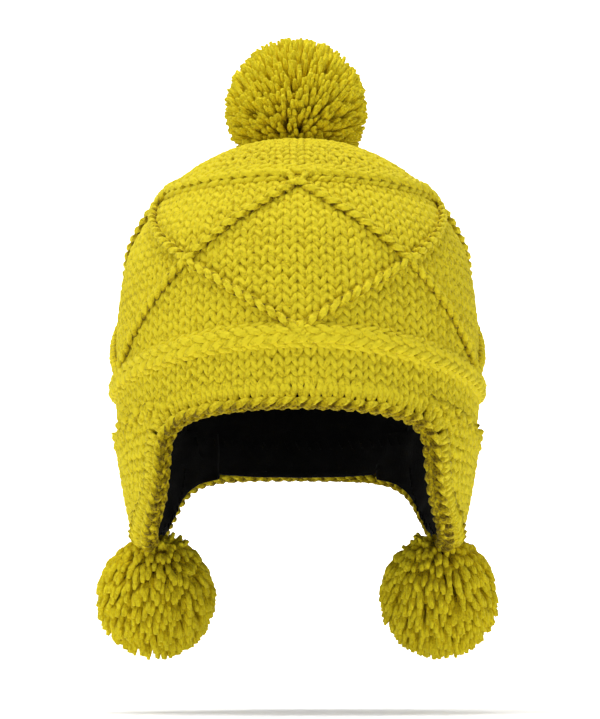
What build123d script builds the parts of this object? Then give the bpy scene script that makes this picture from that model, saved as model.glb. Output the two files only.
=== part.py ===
"""Knitted ear-flap beanie with three pompoms.

Frame: millimetres, +Z up. The origin is the centre of the head opening, in the
plane of the shell's lower edge at the sides. The wearer faces -Y, and the
wearer's left is +X.

The shell is a dome, round in plan before it is stretched along Y by the head's
proportions. Everything that follows the head is drawn round, cut, and then
stretched by the same factor.
"""

from build123d import *
import math
import os

os.makedirs("parts", exist_ok=True)

# ---------------------------------------------------------------- dimensions
HEAD_RATIO = 1.12          # depth (Y) over width (X) of the hat
KNIT_T = 5.6               # knitted fabric, with its relief
LINING_T = 2.4             # fleece
GAP = 1.1                  # between knit and lining
SIDE_Z = -1.0              # lower edge of the shell at the sides and back
BROW_RISE = 16.0           # lower edge of the shell at the centre front
EDGE_W = 11.5              # width of the crocheted edging
NAPE_EDGE_W = 11.0
CORNER_DEG = 47.0          # the brow edging ends at this azimuth from the front
NAPE_DEG = 35.5            # and the nape edging at this one from the back
WELT_Z = 24.0              # rolled welt above the brow
WELT_R = 92.6
RING_Z = 120.5             # rolled welt below the crown
RING_R = 71.0
CROWN_HOLE_R = 8.8         # what is left open by the gathered stitches
LINING_TOP = 137.5

FLAP_TOP = -7.2            # top edge of the flap solids
FLAP_HINGE_X = 93.4        # fold line, outside the fabric
FLAP_HINGE_Z = -1.0
TIP_X = 71.5               # flap tip and its pompom
TIP_Z = -60.4

TOP_BALL_R = 36.3
TOP_BALL_Z = 167.0
TOP_PIVOT_Z = 148.5
BALL_R = 29.3
BALL_Z = -82.0

YARN_R = 1.25              # half of the tying yarn
TIE_R = 6.4                # tie loop, centre line
EYE_R = 4.6                # eye of the binding, centre line

# Outside of the knitted wall: (half width, height), bottom to top.
SHELL_OUT = [
    (91.9, SIDE_Z), (92.8, 12.0), (93.0, 30.0), (92.7, 50.0), (91.2, 69.0),
    (88.0, 87.0), (82.0, 102.5), (74.0, 115.5), (66.0, 126.0), (56.0, 134.5),
    (44.0, 142.0), (30.0, 147.3), (18.0, 149.8), (CROWN_HOLE_R, 150.6),
]
# Outside of the flap wall, top to bottom: it curls in under the ear.
FLAP_OUT = [
    (91.9, FLAP_TOP), (91.2, -12.0), (89.6, -21.0), (88.0, -30.0), (86.6, -38.0),
    (84.4, -46.5), (80.8, -53.5), (76.2, -58.2), (70.6, -61.6),
]
# Free edge of the flap seen from the side: (Y, Z), front to back.
FLAP_OUTLINE = [
    (-70.5, FLAP_TOP), (-68.5, -15.0), (-65.5, -24.0), (-61.0, -33.0),
    (-54.5, -42.0), (-44.5, -50.5), (-31.0, -57.0), (-15.0, -61.0), (0.0, -62.4),
    (15.0, -61.0), (31.5, -57.0), (46.0, -50.5), (57.5, -42.0), (66.0, -32.0),
    (71.5, -22.0), (74.8, -14.0), (76.0, FLAP_TOP),
]


def inward(points, d):
    """The same line moved d to its inner side (towards the axis)."""
    moved = []
    for i, (r, z) in enumerate(points):
        a = points[max(i - 1, 0)]
        b = points[min(i + 1, len(points) - 1)]
        tr, tz = b[0] - a[0], b[1] - a[1]
        n = math.hypot(tr, tz)
        side = 1 if b[1] > a[1] or (b[1] == a[1] and b[0] < a[0]) else -1
        moved.append((r - side * d * tz / n, z + side * d * tr / n))
    return moved


def surface_r(z, line):
    """Half width of a wall line at a height."""
    pts = sorted((p[1], p[0]) for p in line)
    for (z0, r0), (z1, r1) in zip(pts, pts[1:]):
        if z0 <= z <= z1:
            return r0 + (r1 - r0) * (z - z0) / (z1 - z0)
    return pts[0][1] if z < pts[0][0] else pts[-1][1]


def finish(builder, name):
    builder.part.label = name
    export_step(builder.part, "parts/" + name + ".step")
    solids = builder.part.solids()
    box = builder.part.bounding_box()
    print(f"{name:30s} {len(solids):3d} solids {sum(s.volume for s in solids):10.0f} mm3 "
          f"X {box.min.X:7.1f} {box.max.X:7.1f} Y {box.min.Y:7.1f} {box.max.Y:7.1f} Z {box.min.Z:7.1f} {box.max.Z:7.1f}")


STRETCH = (1, HEAD_RATIO, 1)
BROW_SLOPE = math.degrees(math.atan2(BROW_RISE - SIDE_Z, 92.0 * HEAD_RATIO))

# ---------------------------------------------------------------- knitted shell
shell_in = inward(SHELL_OUT, KNIT_T)
shell_in[0] = (shell_in[0][0], SIDE_Z)
shell_in[-1] = (CROWN_HOLE_R, shell_in[-1][1])
# the welts stand proud of the outside
shell_face = [p for p in SHELL_OUT if p[1] < WELT_Z - 6.5]
shell_face += [(93.0, WELT_Z - 6.4), (WELT_R + 3.3, WELT_Z - 3), (WELT_R + 3.3, WELT_Z + 3), (93.0, WELT_Z + 6.4)]
shell_face += [p for p in SHELL_OUT if WELT_Z + 6.5 < p[1] < RING_Z - 4.5]
shell_face += [(RING_R + 3.6, RING_Z - 3.4), (RING_R + 3.4, RING_Z + 0.6), (RING_R - 1.6, RING_Z + 3.2)]
shell_face += [p for p in SHELL_OUT if p[1] > RING_Z + 4.5]

with BuildPart() as knit_shell:
    with BuildSketch(Plane.XZ) as wall:
        with BuildLine():
            Polyline(*shell_face)
            Line(shell_face[-1], shell_in[-1])
            Polyline(*reversed(shell_in))
            Line(shell_in[0], shell_face[0])
        make_face()
    revolve(axis=Axis.Z)
    scale(by=STRETCH)
    # the front of the rim rises towards the brow
    with BuildSketch(Plane.YZ.offset(-130)) as brow_cut:
        with BuildLine():
            Polyline((0, SIDE_Z), (-160, SIDE_Z + 160 * math.tan(math.radians(BROW_SLOPE))),
                     (-160, -40), (0, -40), close=True)
        make_face()
    extrude(amount=260, mode=Mode.SUBTRACT)
finish(knit_shell, "knit_shell")

with BuildPart() as crown_gather_yarn:
    with Locations((0, 0, 151.9)):
        Torus(10.6, 1.2)
finish(crown_gather_yarn, "crown_gather_yarn")

with BuildPart() as crown_anchor_knot:
    with Locations((0, 0, TOP_PIVOT_Z)):
        Cylinder(1.6, 13, rotation=(90, 0, 0))
    with Locations((0, -7.0, TOP_PIVOT_Z - 0.6), (0, 7.0, TOP_PIVOT_Z - 0.6)):
        Cylinder(0.9, 2.4, rotation=(90, 0, 0))
    with Locations((0, 5.2, TOP_PIVOT_Z), (0, -5.2, TOP_PIVOT_Z)):
        Sphere(2.2)
finish(crown_anchor_knot, "crown_anchor_knot")


# ---------------------------------------------------------------- crocheted edging of the crown
def edging_profile(low, high):
    line = [(93.9, high), (94.3, (low + high) / 2), (93.2, low)]
    inner = [(r - KNIT_T - 0.6, z) for r, z in line]
    return line, inner


def sector(half_deg, r=140.0):
    """Corners of a wedge about -Y, before the stretch."""
    a = math.radians(half_deg)
    return [(0, 0), (-r * math.sin(a), -r * math.cos(a)), (0, -r * 1.9),
            (r * math.sin(a), -r * math.cos(a))]


out_line, in_line = edging_profile(-16.0, 17.0)
with BuildPart() as brow_edging:
    with BuildSketch(Plane.XZ):
        with BuildLine():
            Polyline(*out_line)
            Line(out_line[-1], in_line[-1])
            Polyline(*reversed(in_line))
            Line(in_line[0], out_line[0])
        make_face()
    revolve(axis=Axis.Z)
    with BuildSketch(Plane.XY.offset(-40)):
        with BuildLine():
            Polyline(*sector(CORNER_DEG), close=True)
        make_face()
    extrude(amount=80, mode=Mode.INTERSECT)
    scale(by=STRETCH)
    rise = math.tan(math.radians(BROW_SLOPE))
    with BuildSketch(Plane.YZ.offset(-130)):
        with BuildLine():
            Polyline((0, SIDE_Z - 0.6), (-160, SIDE_Z - 0.6 + 160 * rise),
                     (-160, SIDE_Z - 0.6 + 160 * rise - EDGE_W), (0, SIDE_Z - 0.6 - EDGE_W),
                     close=True)
        make_face()
    extrude(amount=260, mode=Mode.INTERSECT)
finish(brow_edging, "brow_edging")

with BuildPart() as nape_edging:
    with BuildSketch(Plane.XZ):
        with BuildLine():
            Polyline((93.0, SIDE_Z - 0.5), (93.4, -6.0), (92.4, SIDE_Z - NAPE_EDGE_W + 1.6),
                     (90.6, SIDE_Z - NAPE_EDGE_W), (88.4, SIDE_Z - NAPE_EDGE_W),
                     (86.8, SIDE_Z - NAPE_EDGE_W + 1.6), (86.8, SIDE_Z - 0.5), close=True)
        make_face()
    revolve(axis=Axis.Z)
    with BuildSketch(Plane.XY.offset(-40)):
        with BuildLine():
            Polyline(*[(x, -y) for x, y in sector(NAPE_DEG)], close=True)
        make_face()
    extrude(amount=80, mode=Mode.INTERSECT)
    scale(by=STRETCH)
finish(nape_edging, "nape_edging")

# ---------------------------------------------------------------- lining of the crown
lining_out = [(r - GAP, z) for r, z in shell_in if z < 95]
lining_out = [(lining_out[0][0], 3.0)] + lining_out[1:] + [
    (74.4, 100.0), (66.0, 110.5), (55.0, 120.0), (42.0, 128.0), (27.0, 134.3),
    (12.0, 137.0), (0.0, LINING_TOP)]
lining_in = inward(lining_out, LINING_T)
lining_in[0] = (lining_in[0][0], 3.0)
lining_in[-1] = (0.0, LINING_TOP - LINING_T)
GORES = {"front": (0, -1), "left": (1, 0), "back": (0, 1), "right": (-1, 0)}

for side, (dx, dy) in GORES.items():
    half = 150.0
    slit = 0.4
    along = (dx * slit * 1.4142, dy * slit * 1.4142)
    with BuildPart() as gore:
        with BuildSketch(Plane.XZ):
            with BuildLine():
                Polyline(*lining_out)
                Line(lining_out[-1], lining_in[-1])
                Polyline(*reversed(lining_in))
                Line(lining_in[0], lining_out[0])
            make_face()
        revolve(axis=Axis.Z)
        # a quarter of the dome, seams on the diagonals
        with BuildSketch(Plane.XY.offset(-20)):
            with BuildLine():
                Polyline(along,
                         (along[0] + half * (dx - dy), along[1] + half * (dy + dx)),
                         (along[0] + half * (dx + dy), along[1] + half * (dy - dx)), close=True)
            make_face()
        extrude(amount=180, mode=Mode.INTERSECT)
        scale(by=STRETCH)
        # the hem follows the rising brow
        hem_rise = math.tan(math.radians(BROW_SLOPE))
        with BuildSketch(Plane.YZ.offset(-130)):
            with BuildLine():
                Polyline((0, 3.0), (-160, 3.0 + 160 * hem_rise), (-160, -30), (0, -30), close=True)
            make_face()
        extrude(amount=260, mode=Mode.SUBTRACT)
    finish(gore, f"lining_{side}_gore")

seam_out = inward(lining_in, 0.8)
seam_in = inward(lining_in, 1.8)
seam_out, seam_in = seam_out[1:-1], seam_in[1:-1]
with BuildPart() as lining_seam_thread:
    with BuildSketch(Plane.XZ):
        with BuildLine():
            Polyline(*seam_out)
            Line(seam_out[-1], seam_in[-1])
            Polyline(*reversed(seam_in))
            Line(seam_in[0], seam_out[0])
        make_face()
    revolve(axis=Axis.Z)
    with Locations((0, 0, 75)):
        Box(260, 1.2, 240, rotation=(0, 0, 45), mode=Mode.INTERSECT)
with BuildPart() as seam_b:
    with BuildSketch(Plane.XZ):
        with BuildLine():
            Polyline(*seam_out)
            Line(seam_out[-1], seam_in[-1])
            Polyline(*reversed(seam_in))
            Line(seam_in[0], seam_out[0])
        make_face()
    revolve(axis=Axis.Z)
    with Locations((0, 0, 75)):
        Box(260, 1.2, 240, rotation=(0, 0, -45), mode=Mode.INTERSECT)
with BuildPart() as seams:
    add(lining_seam_thread.part)
    add(seam_b.part)
    scale(by=STRETCH)
    with BuildSketch(Plane.YZ.offset(-130)):
        with BuildLine():
            Polyline((0, 5.0), (-160, 5.0 + 160 * hem_rise), (-160, -30), (0, -30), close=True)
        make_face()
    extrude(amount=260, mode=Mode.SUBTRACT)
finish(seams, "lining_seam_thread")


# ---------------------------------------------------------------- hem stitches of the crown
def stitch_planes(angles, height_of, depth_from, line):
    """Planes whose z runs along short slanted stitches on the inner face."""
    for deg in angles:
        a = math.radians(deg)
        z = height_of(a)
        r = surface_r(z, line) - depth_from
        # point and outward normal on the stretched wall
        x, y = r * math.sin(a), -r * math.cos(a) * HEAD_RATIO
        n = Vector(math.sin(a), -math.cos(a) / HEAD_RATIO, 0).normalized()
        tangent = Vector(0, 0, 1).cross(n)
        yield Plane(origin=(x, y, z), x_dir=n, z_dir=(Vector(0, 0, 1) + tangent * 0.45).normalized())


stitch_depth = KNIT_T + GAP + LINING_T + 1.15


def brow_hem_z(a):
    depth = 92.0 * HEAD_RATIO * max(math.cos(a), 0)
    return 5.0 + depth * math.tan(math.radians(BROW_SLOPE))


with BuildPart() as brow_hem_stitches:
    with Locations(*stitch_planes([-42 + 4.2 * i for i in range(21)], brow_hem_z, stitch_depth, SHELL_OUT)):
        Cylinder(0.45, 5.0)
finish(brow_hem_stitches, "brow_hem_stitches")

with BuildPart() as nape_hem_stitches:
    with Locations(*stitch_planes([138.5 + 4.15 * i for i in range(21)], lambda a: 5.0, stitch_depth, SHELL_OUT)):
        Cylinder(0.45, 5.0)
finish(nape_hem_stitches, "nape_hem_stitches")

# ---------------------------------------------------------------- ear flaps
flap_in = inward(FLAP_OUT, KNIT_T)
flap_in[0] = (flap_in[0][0], FLAP_TOP)
flap_lining_out = inward(FLAP_OUT, KNIT_T + GAP)
flap_lining_in = inward(FLAP_OUT, KNIT_T + GAP + LINING_T)
edge_out = inward(FLAP_OUT, -1.2)
edge_in = inward(FLAP_OUT, KNIT_T - 1.0)
edge_out[0] = (edge_out[0][0], FLAP_TOP)
edge_in[0] = (edge_in[0][0], FLAP_TOP)
for line in (flap_lining_out, flap_lining_in):
    line[0] = (line[0][0], FLAP_TOP)


def inset_outline(outline, d):
    """The flap outline moved d inside itself, its top kept at the fold."""
    moved = []
    for i, (y, z) in enumerate(outline):
        a = outline[max(i - 1, 0)]
        b = outline[min(i + 1, len(outline) - 1)]
        ty, tz = b[0] - a[0], b[1] - a[1]
        n = math.hypot(ty, tz)
        moved.append((y - d * tz / n, z + d * ty / n))
    moved[0] = (moved[0][0], FLAP_TOP)
    moved[-1] = (moved[-1][0], FLAP_TOP)
    return moved


KNIT_OUTLINE = inset_outline(FLAP_OUTLINE, EDGE_W + 0.5)
LINING_OUTLINE = inset_outline(FLAP_OUTLINE, 5.0)
BAND_OUTLINE = inset_outline(FLAP_OUTLINE, EDGE_W)


for side, s in (("left", 1), ("right", -1)):
    tie_at = (s * TIP_X, 0, TIP_Z)

    with BuildPart() as flap_knit:
        with BuildSketch(Plane.XZ):
            with BuildLine():
                Polyline(*FLAP_OUT)
                Line(FLAP_OUT[-1], flap_in[-1])
                Polyline(*reversed(flap_in))
                Line(flap_in[0], FLAP_OUT[0])
            make_face()
        revolve(axis=Axis.Z)
        scale(by=STRETCH)
        with BuildSketch(Plane.YZ):
            with BuildLine():
                Polyline(*KNIT_OUTLINE)
                Line(KNIT_OUTLINE[-1], KNIT_OUTLINE[0])
            make_face()
        extrude(amount=s * 130, mode=Mode.INTERSECT)
    finish(flap_knit, f"{side}_earflap_knit")

    with BuildPart() as flap_edging:
        with BuildSketch(Plane.XZ):
            with BuildLine():
                Polyline(*edge_out)
                Line(edge_out[-1], edge_in[-1])
                Polyline(*reversed(edge_in))
                Line(edge_in[0], edge_out[0])
            make_face()
        revolve(axis=Axis.Z)
        scale(by=STRETCH)
        with BuildSketch(Plane.YZ):
            with BuildLine():
                Polyline(*FLAP_OUTLINE)
                Line(FLAP_OUTLINE[-1], FLAP_OUTLINE[0])
            make_face()
        extrude(amount=s * 130, mode=Mode.INTERSECT)
        with BuildSketch(Plane.YZ):
            with BuildLine():
                Polyline(*BAND_OUTLINE)
                Polyline(BAND_OUTLINE[-1], (BAND_OUTLINE[-1][0], FLAP_TOP + 6),
                         (BAND_OUTLINE[0][0], FLAP_TOP + 6), BAND_OUTLINE[0])
            make_face()
        extrude(amount=s * 130, mode=Mode.SUBTRACT)
        # a notch at the tip, crossed by the strand that the tie loop hangs on
        with Locations((s * (TIP_X + 0.5), 0, TIP_Z)):
            Box(19.0, 4.6, 18.6, mode=Mode.SUBTRACT)
        with Locations(tie_at):
            Cylinder(2.1, 9.0, rotation=(90, 0, 0))
    finish(flap_edging, f"{side}_earflap_edging")

    with BuildPart() as flap_lining:
        with BuildSketch(Plane.XZ):
            with BuildLine():
                Polyline(*flap_lining_out)
                Line(flap_lining_out[-1], flap_lining_in[-1])
                Polyline(*reversed(flap_lining_in))
                Line(flap_lining_in[0], flap_lining_out[0])
            make_face()
        revolve(axis=Axis.Z)
        scale(by=STRETCH)
        with BuildSketch(Plane.YZ):
            with BuildLine():
                Polyline(*LINING_OUTLINE)
                Line(LINING_OUTLINE[-1], LINING_OUTLINE[0])
            make_face()
        extrude(amount=s * 130, mode=Mode.INTERSECT)
        with Locations((s * (TIP_X + 0.5), 0, TIP_Z)):
            Box(20.0, 11.0, 18.6, mode=Mode.SUBTRACT)
    finish(flap_lining, f"{side}_earflap_lining")

    # stitches round the flap lining, clear of the tie at the tip
    spots = []
    walk = inset_outline(FLAP_OUTLINE, 7.0)
    for (y0, z0), (y1, z1) in zip(walk, walk[1:]):
        n = max(1, round(math.hypot(y1 - y0, z1 - z0) / 5.0))
        for k in range(n):
            t = (k + 0.5) / n
            y, z = y0 + (y1 - y0) * t, z0 + (z1 - z0) * t
            if abs(y) > 13 and z < FLAP_TOP - 4:
                spots.append((y, z))
    planes = []
    for y, z in spots:
        r = surface_r(z, FLAP_OUT)
        slope_in = (surface_r(z + 1, FLAP_OUT) - surface_r(z - 1, FLAP_OUT)) / 2
        x = math.sqrt(max(r * r - (y / HEAD_RATIO) ** 2, 1))
        n = Vector(s * x / r, y / HEAD_RATIO / r / HEAD_RATIO, -slope_in).normalized()
        p = Vector(s * x, y, z) - n * (KNIT_T + GAP + LINING_T + 1.3)
        t = n.cross(Vector(1, 0, 0)).normalized()
        planes.append(Plane(origin=p, x_dir=n, z_dir=t))
    with BuildPart() as flap_stitches:
        with Locations(*planes):
            Cylinder(0.45, 3.2)
    finish(flap_stitches, f"{side}_earflap_hem_stitches")

    # ------------------------------------------------------------ pompom under the flap
    with BuildPart() as tie:
        with Locations(tie_at):
            Torus(TIE_R, YARN_R, rotation=(90, 0, 0))
    finish(tie, f"{side}_pompom_tie")

    link_z = TIP_Z - TIE_R                      # where the tie carries the eye
    eye_z = link_z + 2 * YARN_R + 0.25 - EYE_R  # centre of the eye
    ball_at = (s * TIP_X, 0, BALL_Z)
    with BuildPart() as binding:
        with Locations((s * TIP_X, 0, eye_z)):
            Torus(EYE_R, YARN_R, rotation=(0, 90, 0))
        stem_top, stem_low = eye_z - EYE_R, BALL_Z
        with Locations((s * TIP_X, 0, (stem_top + stem_low) / 2)):
            Cylinder(YARN_R, stem_top - stem_low)
        with Locations(ball_at):
            Cylinder(4.6, 5.0)
            Torus(4.6, 1.5)
    finish(binding, f"{side}_pompom_binding")

    # the top is hollowed to a cone, so that the ball can swing under the flap
    with BuildPart() as ball:
        with BuildSketch(Plane.XZ):
            with BuildLine():
                slope = math.tan(math.radians(26))
                apex = TIP_Z - 3.6
                # where the cone leaves the sphere
                c = BALL_Z - apex
                qa, qb, qc = 1 + slope * slope, 2 * slope * c, c * c - BALL_R ** 2
                rr = (-qb + math.sqrt(qb * qb - 4 * qa * qc)) / (2 * qa)
                zz = apex - slope * rr
                ThreePointArc((0, BALL_Z - BALL_R), (BALL_R, BALL_Z), (rr, zz))
                Line((rr, zz), (0, apex))
                Line((0, apex), (0, BALL_Z - BALL_R))
            make_face()
        revolve(axis=Axis.Z)
    with BuildPart() as strands:
        with Locations((s * TIP_X, 0, 0)):
            add(ball.part)
        with Locations((s * TIP_X, 0, eye_z)):
            Sphere(EYE_R + YARN_R + 1.1, mode=Mode.SUBTRACT)
        with Locations((s * TIP_X, 0, (stem_top + stem_low) / 2)):
            Cylinder(YARN_R + 0.3, stem_top - stem_low + 2, mode=Mode.SUBTRACT)
        with Locations(ball_at):
            Cylinder(6.5, 5.6, mode=Mode.SUBTRACT)
    finish(strands, f"{side}_pompom_strands")

# ---------------------------------------------------------------- top pompom
with BuildPart() as top_tie:
    with Locations((0, 0, TOP_PIVOT_Z)):
        Torus(TIE_R, YARN_R, rotation=(90, 0, 0))
finish(top_tie, "top_pompom_tie")

top_link_z = TOP_PIVOT_Z + TIE_R
top_eye_z = top_link_z - 2 * YARN_R - 0.25 + EYE_R
with BuildPart() as top_binding:
    with Locations((0, 0, top_eye_z)):
        Torus(EYE_R, YARN_R, rotation=(0, 90, 0))
    with Locations((0, 0, (top_eye_z + EYE_R + TOP_BALL_Z) / 2)):
        Cylinder(YARN_R, TOP_BALL_Z - top_eye_z - EYE_R)
    with Locations((0, 0, TOP_BALL_Z)):
        Cylinder(5.4, 6.0)
        Torus(5.4, 1.7)
finish(top_binding, "top_pompom_binding")

base_slope = math.tan(math.radians(14))
base_apex = 154.4
with BuildPart() as top_strands:
    with BuildSketch(Plane.XZ):
        with BuildLine():
            c = base_apex - TOP_BALL_Z
            qa, qb, qc = 1 + base_slope ** 2, 2 * base_slope * c, c * c - TOP_BALL_R ** 2
            rr = (-qb + math.sqrt(qb * qb - 4 * qa * qc)) / (2 * qa)
            zz = base_apex + base_slope * rr
            ThreePointArc((rr, zz), (TOP_BALL_R * math.cos(0.5), TOP_BALL_Z + TOP_BALL_R * math.sin(0.5)),
                          (0, TOP_BALL_Z + TOP_BALL_R))
            Line((0, TOP_BALL_Z + TOP_BALL_R), (0, base_apex))
            Line((0, base_apex), (rr, zz))
        make_face()
    revolve(axis=Axis.Z)
    with Locations((0, 0, top_eye_z)):
        Sphere(EYE_R + YARN_R + 1.1, mode=Mode.SUBTRACT)
    with Locations((0, 0, (top_eye_z + EYE_R + TOP_BALL_Z) / 2)):
        Cylinder(YARN_R + 0.3, TOP_BALL_Z - top_eye_z - EYE_R + 2, mode=Mode.SUBTRACT)
    with Locations((0, 0, TOP_BALL_Z)):
        Cylinder(7.5, 6.6, mode=Mode.SUBTRACT)
    with Locations((0, 0, TOP_PIVOT_Z)):
        Sphere(TIE_R + YARN_R + 0.8, mode=Mode.SUBTRACT)
finish(top_strands, "top_pompom_strands")
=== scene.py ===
"""Looks of the pom pom beanie: every stitch, crocheted edge and pompom strand is yarn geometry, around the CAD frame."""
import bpy, math
import numpy as np
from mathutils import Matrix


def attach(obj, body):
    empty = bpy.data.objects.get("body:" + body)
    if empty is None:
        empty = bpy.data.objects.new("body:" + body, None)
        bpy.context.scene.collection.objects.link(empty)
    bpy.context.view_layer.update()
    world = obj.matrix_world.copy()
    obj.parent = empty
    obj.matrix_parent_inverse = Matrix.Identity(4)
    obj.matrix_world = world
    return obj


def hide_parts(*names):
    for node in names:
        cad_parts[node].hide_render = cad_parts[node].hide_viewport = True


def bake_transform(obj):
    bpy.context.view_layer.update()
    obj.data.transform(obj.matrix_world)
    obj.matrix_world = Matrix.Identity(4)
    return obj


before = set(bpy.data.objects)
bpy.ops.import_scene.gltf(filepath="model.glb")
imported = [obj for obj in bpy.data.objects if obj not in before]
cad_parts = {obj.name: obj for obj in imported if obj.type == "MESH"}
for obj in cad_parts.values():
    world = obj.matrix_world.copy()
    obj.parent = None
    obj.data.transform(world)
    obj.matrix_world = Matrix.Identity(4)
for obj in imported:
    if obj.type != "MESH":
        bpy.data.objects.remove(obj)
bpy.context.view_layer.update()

rng = np.random.default_rng(7)
MM = 0.001
K = 1.12
TAU = 2 * math.pi

# ---------------------------------------------------------------- the hat's surface, in millimetres
PROF = np.array([(-66, 62), (-62.4, 68), (-61, 71), (-59, 75), (-56, 78.6), (-50, 82.6), (-41.6, 85.4), (-33, 87.2), (-25, 88.8), (-17, 90.2),
                 (-9, 91.3), (0, 91.2), (6, 91.6), (12, 92.4), (24, 93), (37, 93), (53, 92.6), (61, 92.0), (69, 91.2), (77.5, 90.2),
                 (86, 88.6), (94, 86.4), (98, 84.6), (102, 82.4), (106, 80.2), (110, 77.9), (114.4, 75.0), (118.5, 72.2),
                 (122.6, 69.5), (126.7, 66.2), (130.8, 62.0), (135, 56.8), (139, 50.8), (143, 43.6), (147.2, 34), (150, 24),
                 (151.2, 15), (151.8, 8), (151.9, 0.5)], float)
ZZ = np.linspace(-66, 151.9, 1600)
AA = np.interp(ZZ, PROF[:, 0], PROF[:, 1])
ker = np.hanning(41); ker /= ker.sum()
low = ZZ < 143
AA_s = np.convolve(np.pad(AA, 20, mode="edge"), ker, mode="valid")
AA = np.where(low, AA_s, AA)
SS = np.concatenate([[0], np.cumsum(np.hypot(np.diff(ZZ), np.diff(AA)))])   # meridian length


def s_of(z): return np.interp(z, ZZ, SS)
def z_of(s): return np.interp(s, SS, ZZ)
def a_of(s): return np.interp(s, SS, AA)


def frame_at(th, s):
    """Point, outward normal, tangent across (+theta) and tangent up, on the stretched dome."""
    a, z = a_of(s), z_of(s)
    da = (a_of(s + 1.5) - a_of(s - 1.5)) / 3
    dz = (z_of(s + 1.5) - z_of(s - 1.5)) / 3
    P = np.stack([a * np.sin(th), -K * a * np.cos(th), z], -1)
    U = np.stack([np.cos(th), K * np.sin(th), 0 * th], -1)
    U /= np.linalg.norm(U, axis=-1, keepdims=True)
    V = np.stack([da * np.sin(th), -K * da * np.cos(th), dz + 0 * th], -1)
    V /= np.maximum(np.linalg.norm(V, axis=-1, keepdims=True), 1e-9)
    N = np.cross(U, V)
    N /= np.linalg.norm(N, axis=-1, keepdims=True)
    return P, N, U, V


def front(th):
    return np.clip(np.cos(th), 0, 1)


def z_rim(th): return -1.0 + 17.0 * front(th) ** 1.35
def z_welt(th): return 23.0 + 15.2 * front(th) ** 1.5 + 2.0 * np.clip(-np.cos(th), 0, 1)
def z_ring(th): return 121.0 - 1.0 * front(th)


# ---------------------------------------------------------------- yarn as tubes
def tubes(paths, refs, radii, sides=7, plies=2, twist=1.0, lobe=0.13, caps=True, flat=None):
    """paths (n, m, 3), refs (n, m, 3) roughly across the yarn, radii (n, m): one mesh's vertices, faces, along, around."""
    n, m, _ = paths.shape
    T = np.gradient(paths, axis=1)
    T /= np.maximum(np.linalg.norm(T, axis=-1, keepdims=True), 1e-9)
    B = np.cross(T, refs)
    B /= np.maximum(np.linalg.norm(B, axis=-1, keepdims=True), 1e-9)
    C = np.cross(B, T)
    seg = np.linalg.norm(np.diff(paths, axis=1), axis=-1)
    L = np.concatenate([np.zeros((n, 1)), np.cumsum(seg, axis=1)], axis=1)
    phi = np.arange(sides) * TAU / sides
    ang = phi[None, None, :] + 0 * L[..., None]
    r = radii[..., None] * (1 + lobe * np.cos(plies * (ang) - twist * L[..., None]))
    v = paths[:, :, None, :] + r[..., None] * (np.cos(ang)[..., None] * B[:, :, None, :] + np.sin(ang)[..., None] * C[:, :, None, :])
    verts = v.reshape(-1, 3)
    i = np.arange(n)[:, None, None] * m * sides
    j = np.arange(m - 1)[None, :, None] * sides
    k = np.arange(sides)[None, None, :]
    k2 = (k + 1) % sides
    q = np.stack([i + j + k, i + j + k2, i + j + sides + k2, i + j + sides + k], -1).reshape(-1, 4)
    along = np.repeat(L[..., None], sides, axis=2).reshape(-1)
    around = np.tile(phi, n * m)
    tag = np.repeat(np.arange(n), m * sides).astype(float)
    return verts, q, along, around, tag


class Yarn:
    """Collects tubes into one mesh, with float attributes for the material."""
    def __init__(self): self.v, self.f, self.al, self.ar, self.tg, self.dp, self.n, self.t = [], [], [], [], [], [], 0, 0
    def add(self, paths, refs, radii, depth=None, **kw):
        paths = np.asarray(paths, float)
        if paths.ndim == 2: paths, refs = paths[None], np.asarray(refs)[None]
        radii = np.broadcast_to(np.asarray(radii, float), paths.shape[:2])
        sides = kw.get("sides", 7)
        v, q, al, ar, tg = tubes(paths, refs, radii, **kw)
        # depth per point: low values paint the yarn into shade, high values paint it light
        d = np.zeros(paths.shape[:2]) if depth is None else np.broadcast_to(depth, paths.shape[:2])
        self.dp.append(np.repeat(d[..., None], sides, axis=2).reshape(-1))
        self.v.append(v); self.f.append(q + self.n); self.al.append(al); self.ar.append(ar)
        self.tg.append(tg + self.t); self.n += len(v); self.t += paths.shape[0]
        # end caps
        n, m = paths.shape[:2]
        for end in (0, m - 1):
            c = (np.arange(n)[:, None] * m + end) * sides + np.arange(sides)[None, :]
            c = c if end else c[:, ::-1]
            for row in range(1):
                self.f_caps = getattr(self, "f_caps", [])
                self.f_caps.append(c + self.n - len(v))
    def build(self, name, material, slot):
        v = np.concatenate(self.v) * MM
        quads = np.concatenate(self.f)
        caps = self.f_caps
        loops = np.concatenate([quads.reshape(-1)] + [c.reshape(-1) for c in caps])
        counts = np.concatenate([np.full(len(quads), 4)] + [np.full(len(c), c.shape[1]) for c in caps])
        me = bpy.data.meshes.new(name)
        me.vertices.add(len(v)); me.vertices.foreach_set("co", v.astype(np.float32).ravel())
        me.loops.add(len(loops)); me.loops.foreach_set("vertex_index", loops.astype(np.int32))
        me.polygons.add(len(counts))
        starts = np.concatenate([[0], np.cumsum(counts)[:-1]])
        me.polygons.foreach_set("loop_start", starts.astype(np.int32))
        me.polygons.foreach_set("use_smooth", np.ones(len(counts), bool))
        me.update(calc_edges=True)
        tag = np.concatenate(self.tg)
        rnd = np.random.default_rng(3).random(int(tag.max()) + 1)
        for key, arr in (("along", np.concatenate(self.al)), ("around", np.concatenate(self.ar)),
                         ("rand", rnd[tag.astype(int)]), ("depth", np.concatenate(self.dp))):
            me.attributes.new(key, "FLOAT", "POINT").data.foreach_set("value", arr.astype(np.float32))
        me.materials.append(material)
        ob = bpy.data.objects.new(name, me)
        bpy.context.scene.collection.objects.link(ob)
        return ob


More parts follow.
